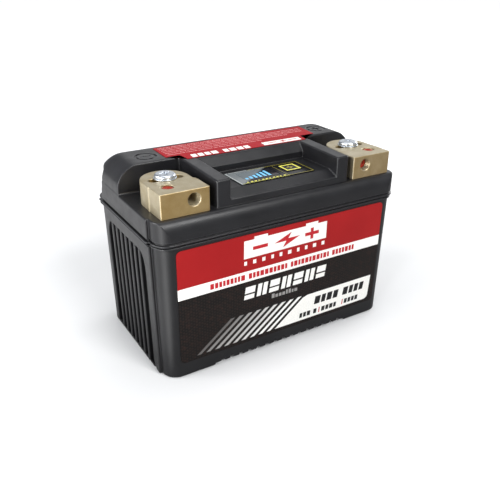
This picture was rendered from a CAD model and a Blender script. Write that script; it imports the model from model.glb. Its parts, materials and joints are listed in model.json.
import json
import math

import bmesh
import bpy
import numpy as np
from mathutils import Matrix, Vector


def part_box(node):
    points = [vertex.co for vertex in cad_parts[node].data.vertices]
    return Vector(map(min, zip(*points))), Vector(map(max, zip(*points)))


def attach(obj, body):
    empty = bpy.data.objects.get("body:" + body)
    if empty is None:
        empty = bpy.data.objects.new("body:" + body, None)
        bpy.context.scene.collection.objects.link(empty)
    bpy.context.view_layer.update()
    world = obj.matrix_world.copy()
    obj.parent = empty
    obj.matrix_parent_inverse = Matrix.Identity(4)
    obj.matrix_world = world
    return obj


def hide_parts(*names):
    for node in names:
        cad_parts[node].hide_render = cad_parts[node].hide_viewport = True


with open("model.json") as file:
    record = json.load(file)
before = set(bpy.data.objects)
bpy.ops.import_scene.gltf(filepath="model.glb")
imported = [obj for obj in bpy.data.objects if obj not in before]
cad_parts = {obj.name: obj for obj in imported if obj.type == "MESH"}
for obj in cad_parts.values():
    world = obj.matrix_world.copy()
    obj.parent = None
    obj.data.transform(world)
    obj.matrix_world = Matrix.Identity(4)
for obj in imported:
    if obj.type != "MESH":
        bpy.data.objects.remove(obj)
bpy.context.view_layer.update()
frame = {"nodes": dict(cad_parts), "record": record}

MM = 0.001
F32 = np.float32
rng = np.random.default_rng(7)

# ------------------------------------------------------------------ numbers read from the frame, in millimetres


def nb(node):
    lo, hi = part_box(node)
    return np.array(lo) * 1000.0, np.array(hi) * 1000.0


case_lo, case_hi = nb("case")
lid_lo, lid_hi = nb("lid")
label_lo, label_hi = nb("front_label")
toplab_lo, toplab_hi = nb("top_label")
film_lo, film_hi = nb("display_overlay")
win_lo, win_hi = nb("display_window")
key_lo, key_hi = nb("test_button")
blk_lo, blk_hi = nb("terminal_block_right")
scr_lo, scr_hi = nb("terminal_screw_right")
was_lo, was_hi = nb("washer_right")
tpl_lo, tpl_hi = nb("top_plug_right")
fpl_lo, fpl_hi = nb("front_plug_right")

HX = float(lid_hi[0])            # half length over the lip of the side panels
HY = float(lid_hi[1])            # half width over the lip
CASE_TOP = float(case_hi[2])
HUMP_TOP = float(lid_hi[2])
SEAM = 0.7
LIP_H = 1.1
Z_LIP0 = CASE_TOP + SEAM
Z_LIP1 = Z_LIP0 + LIP_H
Z_WALL = Z_LIP1 + 0.9
DRAFT = 1.0
PX, PY, BX = HX - 1.6 - 1.3, HY - 1.3, HX - 1.3      # case wall: pillars, front, side panels
PANEL_Y = 33.0
FLOOR_Z = float(blk_lo[2]) - 0.05
CREST_Y = float(blk_lo[1])
DISP_Z = float(film_lo[2]) - 0.05
SCREW_C = ((scr_lo[0] + scr_hi[0]) / 2, (scr_lo[1] + scr_hi[1]) / 2)
TOP_C = ((tpl_lo[0] + tpl_hi[0]) / 2, (tpl_lo[1] + tpl_hi[1]) / 2)
FRONT_C = ((fpl_lo[0] + fpl_hi[0]) / 2, (fpl_lo[2] + fpl_hi[2]) / 2)

# ------------------------------------------------------------------ distance functions


def rmax(a, b, r):
    """Intersection with a rounded edge of radius r."""
    if r <= 0:
        return np.maximum(a, b)
    u, v = np.maximum(a + r, 0), np.maximum(b + r, 0)
    return np.minimum(np.maximum(a, b), -r) + np.sqrt(u * u + v * v)


def rmin(a, b, r):
    """Union with a fillet of radius r."""
    return -rmax(-a, -b, r)


def rrect(x, y, hx, hy, r, rear=None):
    """Rounded rectangle; rear is the corner radius on the +y side."""
    if rear is not None:
        r = np.where(y > 0, rear, r)
    qx, qy = np.abs(x) - (hx - r), np.abs(y) - (hy - r)
    ox, oy = np.maximum(qx, 0), np.maximum(qy, 0)
    return np.sqrt(ox * ox + oy * oy) + np.minimum(np.maximum(qx, qy), 0) - r


def box2(x, y, x0, x1, y0, y1, r=0.0):
    return rrect(x - (x0 + x1) / 2, y - (y0 + y1) / 2, (x1 - x0) / 2, (y1 - y0) / 2, r)


def ellipse_corner(u, v, a, b):
    """Distance to a quarter ellipse of half axes a and b; u and v are measured from its centre, outwards."""
    u, v = np.maximum(u, 0) / a, np.maximum(v, 0) / b
    level = np.sqrt(u * u + v * v)
    g = np.sqrt((u / a) ** 2 + (v / b) ** 2)
    return np.where(level > 0.3, (level * level - 1) / (2 * np.maximum(g, 1e-4)), -min(a, b))


def ticks(lo, hi, coarse, zones):
    """Grid lines from lo to hi, coarse apart, and finer inside each zone (start, end, step)."""
    out, p = [lo], lo
    zones = sorted(zones)
    while p < hi:
        step = coarse
        for a, b, s in zones:
            if a - 1e-6 <= p < b:
                step = min(step, s)
        nxt = p + step
        for a, b, s in zones:
            if p < a - 1e-6 < nxt and s < step:
                nxt = a
        p = nxt
        out.append(p)
    return np.array(out, float)


def mirrored(zones):
    return zones + [(-b, -a, s) for a, b, s in zones]


def gradient(f, p, h=0.03):
    g = np.empty_like(p)
    for i in range(3):
        d = np.zeros(3)
        d[i] = h
        a, b = p + d, p - d
        g[:, i] = (f(a[:, 0], a[:, 1], a[:, 2]) - f(b[:, 0], b[:, 1], b[:, 2])) / (2 * h)
    return g


def project(f, p, rounds=3, cap=0.5):
    for _ in range(rounds):
        d = f(p[:, 0], p[:, 1], p[:, 2])
        g = gradient(f, p)
        g2 = np.maximum((g * g).sum(1), 0.05)
        step = -(d / g2)[:, None] * g
        n = np.sqrt((step * step).sum(1))
        step *= np.minimum(1.0, cap / np.maximum(n, 1e-9))[:, None]
        p = p + step
    return p


def surface_nets(f, xs, ys, zs):
    """Quads of the zero surface of f on a rectilinear grid, one vertex in each cell that the surface crosses."""
    nx, ny, nz = len(xs), len(ys), len(zs)
    v = np.empty((nx, ny, nz), F32)
    chunk = max(1, int(4e5 // (ny * nz)))
    for i in range(0, nx, chunk):
        v[i:i + chunk] = f(xs[i:i + chunk, None, None], ys[None, :, None], zs[None, None, :])
    inside = v < 0
    cells = (nx - 1, ny - 1, nz - 1)

    def cid(i, j, k):
        return (i * cells[1] + j) * cells[2] + k

    ids, pts, quads = [], [], []
    axes = (xs, ys, zs)
    for axis in range(3):
        a = [slice(None)] * 3
        b = [slice(None)] * 3
        a[axis], b[axis] = slice(0, -1), slice(1, None)
        ia, ib = inside[tuple(a)], inside[tuple(b)]
        i, j, k = np.nonzero(ia != ib)
        e = [i, j, k]
        u, w = [(1, 2), (2, 0), (0, 1)][axis]
        ok = (e[u] > 0) & (e[w] > 0) & (e[u] < (nx, ny, nz)[u] - 1) & (e[w] < (nx, ny, nz)[w] - 1)
        i, j, k = i[ok], j[ok], k[ok]
        e = [i, j, k]
        n = [i.copy(), j.copy(), k.copy()]
        n[axis] = n[axis] + 1
        f0, f1 = v[i, j, k].astype(float), v[tuple(n)].astype(float)
        t = f0 / (f0 - f1)
        p = np.stack([axes[0][i], axes[1][j], axes[2][k]], 1)
        p[:, axis] += t * (axes[axis][n[axis]] - axes[axis][e[axis]])
        corner = []
        for du, dw in ((-1, -1), (0, -1), (0, 0), (-1, 0)):
            c = [i.copy(), j.copy(), k.copy()]
            c[u] = c[u] + du
            c[w] = c[w] + dw
            corner.append(cid(*c))
        q = np.stack(corner, 1)
        flip = ~ia[tuple(e)]
        q[flip] = q[flip][:, ::-1]
        quads.append(q)
        ids.append(q.reshape(-1))
        pts.append(np.repeat(p, 4, axis=0))
    ids, pts = np.concatenate(ids), np.concatenate(pts)
    used, inv = np.unique(ids, return_inverse=True)
    count = np.bincount(inv, minlength=len(used))
    verts = np.stack([np.bincount(inv, weights=pts[:, i], minlength=len(used)) / count for i in range(3)], 1)
    quads = np.searchsorted(used, np.concatenate(quads))
    return verts, quads


def new_mesh(name, verts, faces):
    """Object from vertices in millimetres and an array or list of faces."""
    me = bpy.data.meshes.new(name)
    if isinstance(faces, np.ndarray):
        n, k = faces.shape
        me.vertices.add(len(verts))
        me.vertices.foreach_set("co", (np.asarray(verts) * MM).astype(F32).ravel())
        me.loops.add(n * k)
        me.loops.foreach_set("vertex_index", faces.astype(np.int32).ravel())
        me.polygons.add(n)
        me.polygons.foreach_set("loop_start", np.arange(0, n * k, k, dtype=np.int32))
        me.polygons.foreach_set("loop_total", np.full(n, k, np.int32))
        me.update(calc_edges=True)
        me.validate()
    else:
        me.from_pydata([tuple(np.asarray(v) * MM) for v in verts], [], faces)
        me.update(calc_edges=True)
    ob = bpy.data.objects.new(name, me)
    bpy.context.scene.collection.objects.link(ob)
    return ob


def coords(me):
    co = np.empty(len(me.vertices) * 3, F32)
    me.vertices.foreach_get("co", co)
    return co.reshape(-1, 3).astype(float) / MM


def field_mesh(name, f, xs, ys, zs, keep=1.0, mirror=False, smooth_h=0.04):
    """A closed mesh of f < 0, thinned to the share keep of its triangles, with normals from f itself."""
    verts, quads = surface_nets(f, xs, ys, zs)
    verts = project(f, verts)
    if mirror:
        verts[:, 0] *= -1
        quads = quads[:, ::-1]
        g = f

        def f(x, y, z):
            return g(-x, y, z)
    ob = new_mesh(name, verts, np.ascontiguousarray(quads))
    if keep < 1.0:
        mod = ob.modifiers.new("thin", "DECIMATE")
        mod.ratio = keep
        dg = bpy.context.evaluated_depsgraph_get()
        me = bpy.data.meshes.new_from_object(ob.evaluated_get(dg))
        ob.modifiers.clear()
        old = ob.data
        ob.data = me
        bpy.data.meshes.remove(old)
        me.name = name
        p = project(f, coords(me), 2, 0.15)
        me.vertices.foreach_set("co", (p * MM).astype(F32).ravel())
        me.update()
    me = ob.data
    shade(ob)
    n = gradient(f, coords(me), smooth_h)
    n /= np.maximum(np.linalg.norm(n, axis=1), 1e-9)[:, None]
    me.normals_split_custom_set_from_vertices(n.astype(F32))
    print("MESH", name, len(me.vertices), "verts", len(me.polygons), "faces")
    return ob


def shade(ob, smooth=True):
    ob.data.polygons.foreach_set("use_smooth", np.full(len(ob.data.polygons), smooth))
    ob.data.update()
    return ob

# ------------------------------------------------------------------ case and lid shapes


PANEL_REAR, CASE_REAR_R, LID_REAR_R = 31.0, 11.0, 13.0
REAR_C, REAR_RY, REAR_RZ = 22.8, 20.2, 24.0


def wall_plan(x, y, px, py, bx, by, r, edge=0.45, rear_r=None, rear=None):
    """Plan outline: rounded rectangle with proud side panels."""
    rear = by if rear is None else rear
    return rmin(rrect(x, y, px, py, r, rear_r), box2(x, y, -bx, bx, -by, rear, edge), 0.35)


RIB, PITCH, FLUTE_TOP, FLUTE_END, FLUTE_DEPTH = 2.3, 6.33, 67.3, 26.2, 2.3
FOOT_X, FOOT_H, TOOTH_PITCH, TOOTH_TOP = 43.8, 1.5, 5.6, 2.9


def case_field(x, y, z):
    d = DRAFT * (CASE_TOP - z) / CASE_TOP
    body = wall_plan(x, y, PX - d, PY - d, BX - d, PANEL_Y, 8.0, 0.55, CASE_REAR_R, PANEL_REAR)
    body = rmax(body, -z, 1.3)
    lip = wall_plan(x, y, HX - 2.1, HY - 0.5, HX - 0.5, PANEL_Y + 0.4, 8.0)
    lip = rmax(lip, np.abs(z - (CASE_TOP - LIP_H / 2)) - LIP_H / 2, 0.4)
    body = rmin(body, lip, 0.25)
    body = np.maximum(body, z - CASE_TOP)
    # flutes of the side panels
    ay, ax = np.abs(y), np.abs(x)
    k = np.clip(np.round(y / PITCH), -3, 3)
    rib = RIB / 2 - np.abs(y - PITCH * k)
    wide = 3 * PITCH + RIB / 2
    arch = ellipse_corner(ay - wide, z - (FLUTE_TOP - 11), FLUTE_END - wide, 11.0)
    slot = np.maximum(np.maximum(rib, ay - FLUTE_END), np.maximum(z - FLUTE_TOP, arch))
    foot = ellipse_corner(FLUTE_END + 6.2 - ay, 6.5 - z, 6.2, 6.5)      # rounded lower corner of the front strips
    foot = np.where((y < 0.5 - FLUTE_END) & (z < 6.5), -foot, 5.0)
    slot = np.maximum(slot, 1.4 - z)                                    # closed by a narrow rim at the ground
    cut = np.minimum(slot, foot)
    cut = rmax(cut, (BX - d - FLUTE_DEPTH) - ax, 0.5)
    body = rmax(body, -cut, 0.55)
    # inside of the tub
    body = np.maximum(body, -np.maximum(rrect(x, y, 69.2, 39.4, 5.0, 9.0), 2.8 - z))
    # underside between the feet
    body = rmax(body, -np.maximum(ax - FOOT_X, z - FOOT_H), 0.5)
    kx = np.clip(np.round(x / TOOTH_PITCH), -7, 7)
    tooth = np.maximum(np.maximum(np.abs(x - TOOTH_PITCH * kx) - 1.1, z - TOOTH_TOP), 39.7 - ay)
    body = rmax(body, -tooth, 0.3)
    return body


MID_X, MID_FRONT, POST_X, LIP_Z = 39.8, 102.3, 32.2, 91.8
MARKS = ((-54.3, 12.4), (57.0, 14.0))


def lid_outer(x, y, z):
    """Outer skin of the lid from the wall up, without the lip and the display recess."""
    up = np.clip(z - 78.0, 0, 15)      # the rear corners round off more towards the top
    plan = wall_plan(x, y, HX - 2.1, HY - 0.5, HX - 0.8, PANEL_Y, 7.5, 0.45, LID_REAR_R + 0.45 * up, PANEL_REAR - 0.3 * up)
    foot = rmin(2.6 - y, rmax(np.abs(x) - MID_X, CREST_Y - y, 1.2), 1.0)
    top = z - (HUMP_TOP - 0.0202 * np.maximum(-4.0 - y, 0))
    up = rmax(foot, top, 1.0)
    ends = np.sqrt(np.maximum(np.abs(x) - (HX - 13.8), 0) ** 2 + np.maximum(z - (HUMP_TOP - 13), 0) ** 2) - 13.0
    up = np.maximum(up, ends)
    rear = ellipse_corner(y - REAR_C, z - (HUMP_TOP - REAR_RZ), REAR_RY, REAR_RZ)
    u = np.clip((np.abs(x) - (HX - 13.8)) / 13.0, 0, 0.995)
    w = np.clip((y - REAR_C) / REAR_RY, 0, 0.995)
    cu, cw = np.sqrt(1 - u * u), np.sqrt(1 - w * w)
    both = (z - HUMP_TOP + 13.0 * (1 - cu) + REAR_RZ * (1 - cw)) / np.sqrt(1 + (u / cu) ** 2 + (REAR_RZ / REAR_RY * w / cw) ** 2)
    rear = np.maximum(rear, np.where((u > 0) & (w > 0), both, -9.0))
    tier = z - FLOOR_Z
    solid = rmin(tier + 0 * up, up, 0.9)
    solid = np.maximum(solid, rear)
    solid = rmax(solid, plan, 0.7)
    shoulder = np.minimum(CREST_Y - y, ellipse_corner(CREST_Y - y, z - 79.5, HY - 0.5 + CREST_Y, FLOOR_Z - 79.5))
    return np.maximum(solid, shoulder)


def recess_field(x, y, z, r=0.5):
    """The space cut out for the display."""
    ramp = ((y - CREST_Y) * (DISP_Z - LIP_Z) / (-31.6 - CREST_Y) + LIP_Z - z) * 0.94
    a = rmin(ramp, DISP_Z - z, 0.0)
    b = np.minimum(y + 7.6, ((y + 7.5) - 0.75 * (z - 98.0)) / 1.25)
    return rmax(rmax(a, b, r), np.abs(x) - POST_X, r)


def lid_field(x, y, z):
    outer = lid_outer(x, y, z)
    rec = recess_field(x, y, z)
    skin = rmax(outer, -rec, 0.9)
    shell = rmax(skin, Z_WALL - z, 0.3)
    neck = wall_plan(x, y, HX - 2.8, HY - 1.0, HX - 1.5, PANEL_Y - 0.3, 7.0, 0.45, LID_REAR_R - 0.5, PANEL_REAR - 0.3)
    neck = np.maximum(neck, np.abs(z - (Z_WALL - 0.7)) - 1.0)
    lip = wall_plan(x, y, HX - 1.6, HY, HX, PANEL_Y + 0.6, 8.0)
    lip = rmax(lip, np.abs(z - (Z_LIP0 + LIP_H / 2)) - LIP_H / 2, 0.45)
    solid = np.minimum(shell, neck)
    solid = rmin(solid, lip, 0.2)
    spigot = np.maximum(rrect(x, y, 68.7, 38.9, 4.6, 8.6), np.abs(z - 73.9) - 2.4)
    solid = np.minimum(solid, spigot)
    # hollow underside
    hollow = np.maximum(np.maximum(outer, -rec) + 2.2, rrect(x, y, 66.6, 36.8, 4.0, 8.0))
    ax = np.abs(x)
    boss = np.sqrt((ax - SCREW_C[0]) ** 2 + (y - SCREW_C[1]) ** 2)
    hollow = np.maximum(hollow, -np.maximum(boss - 9.0, 80.6 - z))
    solid = np.maximum(solid, -hollow)
    solid = np.maximum(solid, 6.4 - boss)
    w = np.maximum(box2(x, y, win_lo[0] - 1.2, win_hi[0] + 1.2, win_lo[1] - 1.2, win_hi[1] + 1.2, 0.3), 85.0 - z)
    k = np.maximum(box2(x, y, key_lo[0] - 0.7, key_hi[0] + 0.7, key_lo[1] - 0.7, key_hi[1] + 0.7, 0.3), 85.0 - z)
    solid = np.maximum(solid, -np.minimum(w, k))
    # sunk polarity marks
    mx = x - np.where(x > 0, MARKS[1][0], MARKS[0][0])
    my = y - np.where(x > 0, MARKS[1][1], MARKS[0][1])
    ring = np.abs(np.sqrt(mx * mx + my * my) - 5.2) - 0.72
    bar = np.maximum(np.abs(mx) - 3.0, np.abs(my) - 0.6)
    plus = np.where(x > 0, np.maximum(np.abs(mx) - 0.6, np.abs(my) - 3.0), 9.0)
    mark = np.maximum(np.minimum(np.minimum(ring, bar), plus), HUMP_TOP - 0.45 - z)
    return rmax(solid, -mark, 0.12)


# ------------------------------------------------------------------ terminal block, screw


def thread(rad, ang, along, r, pitch=1.0, depth=0.32):
    """Distance into a threaded hole of radius r: negative inside the hole."""
    ph = along / pitch + ang / (2 * math.pi)
    tri = np.abs(ph - np.floor(ph) - 0.5) * 2
    return rad - (r - depth + depth * 1.0 * tri)


def block_field(x, y, z):
    """Right terminal block; the left one is its mirror image."""
    cx, cy = SCREW_C
    bz = 100.45
    body = rmin(box2(x, y, blk_lo[0], blk_hi[0], blk_lo[1], -23.9, 0.7),
                np.minimum(np.sqrt((x - cx) ** 2 + (y - cy) ** 2) - 12.2, box2(x, y, cx - 12.2, cx + 12.2, -25.5, cy, 0.01)), 1.0)
    low = rmax(body, z - bz, 0.55)
    pad = rmax(box2(x, y, blk_lo[0], blk_hi[0], blk_lo[1], -26.0, 0.7), z - blk_hi[2], 0.45)
    solid = np.minimum(low, np.maximum(pad, body))
    solid = rmax(solid, blk_lo[2] - z, 0.2)
    # oblong seat
    sx = np.maximum(np.abs(x - cx) - 6.6, 0)
    seat = np.sqrt(sx * sx + (y - (cy - 0.8)) ** 2) - 2.4
    seat = rmax(seat, (bz - 2.2) - z, 0.4)
    solid = rmax(solid, -seat, 0.35)
    solid = rmax(solid, 3.35 - np.sqrt((x - cx) ** 2 + (y - cy) ** 2), 0.25)
    # threaded holes with a countersunk mouth
    tx, ty = x - TOP_C[0], y - TOP_C[1]
    rad, ang = np.sqrt(tx * tx + ty * ty), np.arctan2(ty, tx)
    hole = thread(rad, ang, z, 3.35)
    hole = np.minimum(hole, (rad - 3.35 - (z - (blk_hi[2] - 0.15))) * 0.7)
    hole = np.maximum(hole, (blk_hi[2] - 8.5 + 0.25 * np.maximum(rad, 0)) - z)
    solid = rmax(solid, -hole, 0.08)
    fx, fz = x - FRONT_C[0], z - FRONT_C[1]
    rad, ang = np.sqrt(fx * fx + fz * fz), np.arctan2(fz, fx)
    hole = thread(rad, ang, y, 3.35)
    hole = np.minimum(hole, (rad - 3.35 - ((blk_lo[1] + 0.2) - y)) * 0.7)
    hole = np.maximum(hole, y - (blk_lo[1] + 11.0 - 0.3 * rad))
    return rmax(solid, -hole, 0.08)


def screw_field(x, y, z):
    cx, cy = SCREW_C
    dx, dy = x - cx, y - cy
    rad, ang = np.sqrt(dx * dx + dy * dy), np.arctan2(dy, dx)
    zh = scr_hi[2] - 2.0
    top = scr_hi[2] - 0.012 * rad * rad
    head = rmax(rad - (scr_hi[0] - scr_lo[0]) / 2, z - top, 1.0)
    head = rmax(head, zh - z, 0.25)
    ph = z / 1.0 + ang / (2 * math.pi)
    tri = np.abs(ph - np.floor(ph) - 0.5) * 2
    shank = rad - (3.0 - 0.36 * (1 - tri) * np.clip((z - scr_lo[2]) / 1.2, 0, 1))
    shank = np.maximum(shank, rad - (2.2 + (z - scr_lo[2]) * 0.9))
    shank = np.maximum(shank, np.maximum(z - (zh + 0.5), scr_lo[2] - z))
    solid = rmin(shank, head, 0.2)
    # cross recess, tapering inwards, with a small well in the middle
    depth = scr_hi[2] - z
    half = 0.5 - 0.1 * depth
    ln = 2.8 - 0.8 * depth
    a = np.maximum(np.abs(dx) - half, np.abs(dy) - ln)
    b = np.maximum(np.abs(dy) - half, np.abs(dx) - ln)
    cross = rmin(rmin(a, b, 0.25), rad - (0.95 - 0.25 * depth), 0.2)
    cross = rmax(cross, depth - 1.3, 0.15)
    return rmax(solid, -cross, 0.14)

# ------------------------------------------------------------------ small mesh builders


def lathe(name, prof, centre, axis="z", segs=96):
    """Closed solid turned from a profile of (radius, height) points. Open ends sit on the axis; otherwise the profile is a ring."""
    cx, cy, cz = centre
    ring = prof[0][0] > 1e-6
    bm = bmesh.new()
    rows = []
    for r, h in prof:
        if r <= 1e-6:
            rows.append([bm.verts.new((0, 0, h))])
        else:
            rows.append([bm.verts.new((r * math.cos(2 * math.pi * i / segs), r * math.sin(2 * math.pi * i / segs), h)) for i in range(segs)])
    pairs = list(zip(rows[:-1], rows[1:])) + ([(rows[-1], rows[0])] if ring else [])
    for a, b in pairs:
        for i in range(segs):
            j = (i + 1) % segs
            if len(a) == 1 and len(b) == 1:
                continue
            if len(a) == 1:
                bm.faces.new((a[0], b[j], b[i]))
            elif len(b) == 1:
                bm.faces.new((a[i], a[j], b[0]))
            else:
                bm.faces.new((a[i], a[j], b[j], b[i]))
    bmesh.ops.recalc_face_normals(bm, faces=bm.faces)
    for v in bm.verts:
        x, y, z = v.co
        if axis == "y":
            x, y, z = x, z, -y
        v.co = ((x + cx) * MM, (y + cy) * MM, (z + cz) * MM)
    me = bpy.data.meshes.new(name)
    bm.to_mesh(me)
    bm.free()
    ob = bpy.data.objects.new(name, me)
    bpy.context.scene.collection.objects.link(ob)
    shade(ob)
    return ob


def rounded(prof, r, steps=4, closed=True):
    """A profile with each corner rounded."""
    out, n = [], len(prof)
    for i, p in enumerate(prof):
        p = np.array(p, float)
        if not closed and i in (0, n - 1):
            out.append(tuple(p))
            continue
        a, b = np.array(prof[i - 1], float), np.array(prof[(i + 1) % n], float)
        la, lb = np.linalg.norm(a - p), np.linalg.norm(b - p)
        rr = min(r, la * 0.45, lb * 0.45)
        s, e = p + (a - p) / la * rr, p + (b - p) / lb * rr
        for t in np.linspace(0, 1, steps + 1):
            out.append(tuple((1 - t) ** 2 * s + 2 * t * (1 - t) * p + t * t * e))
    return out


def prisms(name, polys, place, d0, d1, bevel=0.0):
    """Closed thin solids: each 2D outline is laid on a surface by place(u, v, d), from depth d0 to d1 along its normal."""
    bm = bmesh.new()
    for poly in polys:
        lo = [bm.verts.new(place(u, v, d0)) for u, v in poly]
        hi = [bm.verts.new(place(u, v, d1)) for u, v in poly]
        n = len(poly)
        caps = [bm.faces.new(hi), bm.faces.new(lo[::-1])]
        for i in range(n):
            j = (i + 1) % n
            bm.faces.new((lo[i], lo[j], hi[j], hi[i]))
        if n > 4:
            bmesh.ops.triangulate(bm, faces=caps)
    bmesh.ops.recalc_face_normals(bm, faces=bm.faces)
    for v in bm.verts:
        v.co *= MM
    me = bpy.data.meshes.new(name)
    bm.to_mesh(me)
    bm.free()
    ob = bpy.data.objects.new(name, me)
    bpy.context.scene.collection.objects.link(ob)
    if bevel > 0:
        m = ob.modifiers.new("edge", "BEVEL")
        m.width = bevel * MM
        m.segments = 2
        m.limit_method = "ANGLE"
        m.angle_limit = math.radians(50)
        dg = bpy.context.evaluated_depsgraph_get()
        me2 = bpy.data.meshes.new_from_object(ob.evaluated_get(dg))
        ob.modifiers.clear()
        ob.data = me2
        bpy.data.meshes.remove(me)
        me2.name = name
    return ob


def arc(cx, cy, rx, ry, a0, a1, n):
    return [(cx + rx * math.cos(math.radians(a)), cy + ry * math.sin(math.radians(a))) for a in np.linspace(a0, a1, n + 1)]


def round_rect(x0, x1, y0, y1, r, n=6):
    return (arc(x1 - r, y1 - r, r, r, 0, 90, n) + arc(x0 + r, y1 - r, r, r, 90, 180, n)
            + arc(x0 + r, y0 + r, r, r, 180, 270, n) + arc(x1 - r, y0 + r, r, r, 270, 360, n))


def rect(x0, x1, y0, y1, lean=0.0):
    """Rectangle, its top shifted by lean."""
    return [(x0, y0), (x1, y0), (x1 + lean, y1), (x0 + lean, y1)]


def band(points, w):
    """Closed polyline as separate straight strokes of width w."""
    out = []
    n = len(points)
    for i in range(n):
        a, b = np.array(points[i], float), np.array(points[(i + 1) % n], float)
        d = (b - a) / np.linalg.norm(b - a)
        q = np.array([-d[1], d[0]]) * w / 2
        a2, b2 = a - d * w / 2, b - d * w / 2
        out.append([tuple(a2 - q), tuple(b2 - q), tuple(b2 + q), tuple(a2 + q)])
    return out


def greek(x0, x1, z0, h, lean=0.0, word=(3, 8), gap=0.22, seed=1, slit=False, even=False, wide=(0.42, 0.72)):
    """A row of plain blocks that stands in for a line of print."""
    r = np.random.default_rng(seed)
    out, x, left = [], x0, int(r.integers(*word))
    while x < x1 - 0.3 * h:
        w = h * r.uniform(*wide)
        if x + w > x1:
            break
        hh = h * (1.0 if even or r.random() < 0.55 else 0.74)
        if slit:
            m = r.uniform(0.35, 0.6) * hh
            t = 0.09 * h
            out.append(rect(x, x + w, z0, z0 + m - t, lean * (m - t)))
            k = lean * (m + t)
            out.append([(x + k, z0 + m + t), (x + w + k, z0 + m + t), (x + w + lean * hh, z0 + hh), (x + lean * hh, z0 + hh)])
        else:
            out.append(rect(x, x + w, z0, z0 + hh, lean * hh))
        x += w + gap * h
        left -= 1
        if left <= 0:
            x += 0.55 * h
            left = int(r.integers(*word))
    return out


# ------------------------------------------------------------------ materials


def srgb(r, g, b):
    return tuple((c / 12.92 if c <= 0.04045 else ((c + 0.055) / 1.055) ** 2.4) for c in (r / 255, g / 255, b / 255)) + (1.0,)


class Look:
    """One node-based material."""

    def __init__(self, name, rough=0.5, metal=0.0, spec=0.5):
        self.m = bpy.data.materials.new(name)
        self.m.use_nodes = True
        self.t = self.m.node_tree
        self.b = self.t.nodes["Principled BSDF"]
        self.set("Roughness", rough)
        self.set("Metallic", metal)
        self.set("Specular IOR Level", spec)
        self.p = self.new("ShaderNodeTexCoord").outputs["Object"]

    def new(self, kind, **kw):
        n = self.t.nodes.new(kind)
        for k, v in kw.items():
            setattr(n, k, v)
        return n

    def put(self, socket, value):
        if isinstance(value, bpy.types.NodeSocket):
            self.t.links.new(value, socket)
        else:
            socket.default_value = value

    def set(self, name, value):
        self.put(self.b.inputs[name], value)

    def stretch(self, sx, sy, sz, rot=(0, 0, 0)):
        n = self.new("ShaderNodeMapping")
        self.put(n.inputs["Vector"], self.p)
        n.inputs["Scale"].default_value = (sx, sy, sz)
        n.inputs["Rotation"].default_value = rot
        return n.outputs["Vector"]

    def noise(self, scale, detail=3.0, rough=0.5, vec=None, distortion=0.0):
        n = self.new("ShaderNodeTexNoise")
        self.put(n.inputs["Vector"], vec or self.p)
        n.inputs["Scale"].default_value = scale
        n.inputs["Detail"].default_value = detail
        n.inputs["Roughness"].default_value = rough
        n.inputs["Distortion"].default_value = distortion
        return n.outputs["Fac"]

    def voronoi(self, scale, feature="F1", vec=None, out="Distance", rnd=1.0):
        n = self.new("ShaderNodeTexVoronoi", feature=feature)
        self.put(n.inputs["Vector"], vec or self.p)
        n.inputs["Scale"].default_value = scale
        n.inputs["Randomness"].default_value = rnd
        return n.outputs[out]

    def wave(self, scale, vec=None, distortion=0.0, direction="X", profile="SIN"):
        n = self.new("ShaderNodeTexWave", bands_direction=direction, wave_profile=profile)
        self.put(n.inputs["Vector"], vec or self.p)
        n.inputs["Scale"].default_value = scale
        n.inputs["Distortion"].default_value = distortion
        return n.outputs["Fac"]

    def f(self, op, a, b=0.0, c=0.0, clamp=False):
        n = self.new("ShaderNodeMath", operation=op, use_clamp=clamp)
        for s, v in zip(n.inputs, (a, b, c)):
            self.put(s, v)
        return n.outputs[0]

    def span(self, v, a0, a1, b0=0.0, b1=1.0):
        n = self.new("ShaderNodeMapRange")
        for s, q in zip(n.inputs, (v, a0, a1, b0, b1)):
            self.put(s, q)
        return n.outputs[0]

    def mix(self, fac, a, b, blend="MIX"):
        n = self.new("ShaderNodeMix", data_type="RGBA", blend_type=blend)
        self.put(n.inputs[0], fac)
        self.put(n.inputs[6], a)
        self.put(n.inputs[7], b)
        return n.outputs[2]

    def xyz(self, vec=None):
        n = self.new("ShaderNodeSeparateXYZ")
        self.put(n.inputs[0], vec or self.p)
        return n.outputs[0], n.outputs[1], n.outputs[2]

    def attr(self, name):
        return self.new("ShaderNodeAttribute", attribute_name=name).outputs["Fac"]

    def bump(self, height, strength, dist_mm, normal=None):
        n = self.new("ShaderNodeBump")
        self.put(n.inputs["Strength"], strength)
        n.inputs["Distance"].default_value = dist_mm * MM
        self.put(n.inputs["Height"], height)
        if normal is not None:
            self.put(n.inputs["Normal"], normal)
        return n.outputs[0]


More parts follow.
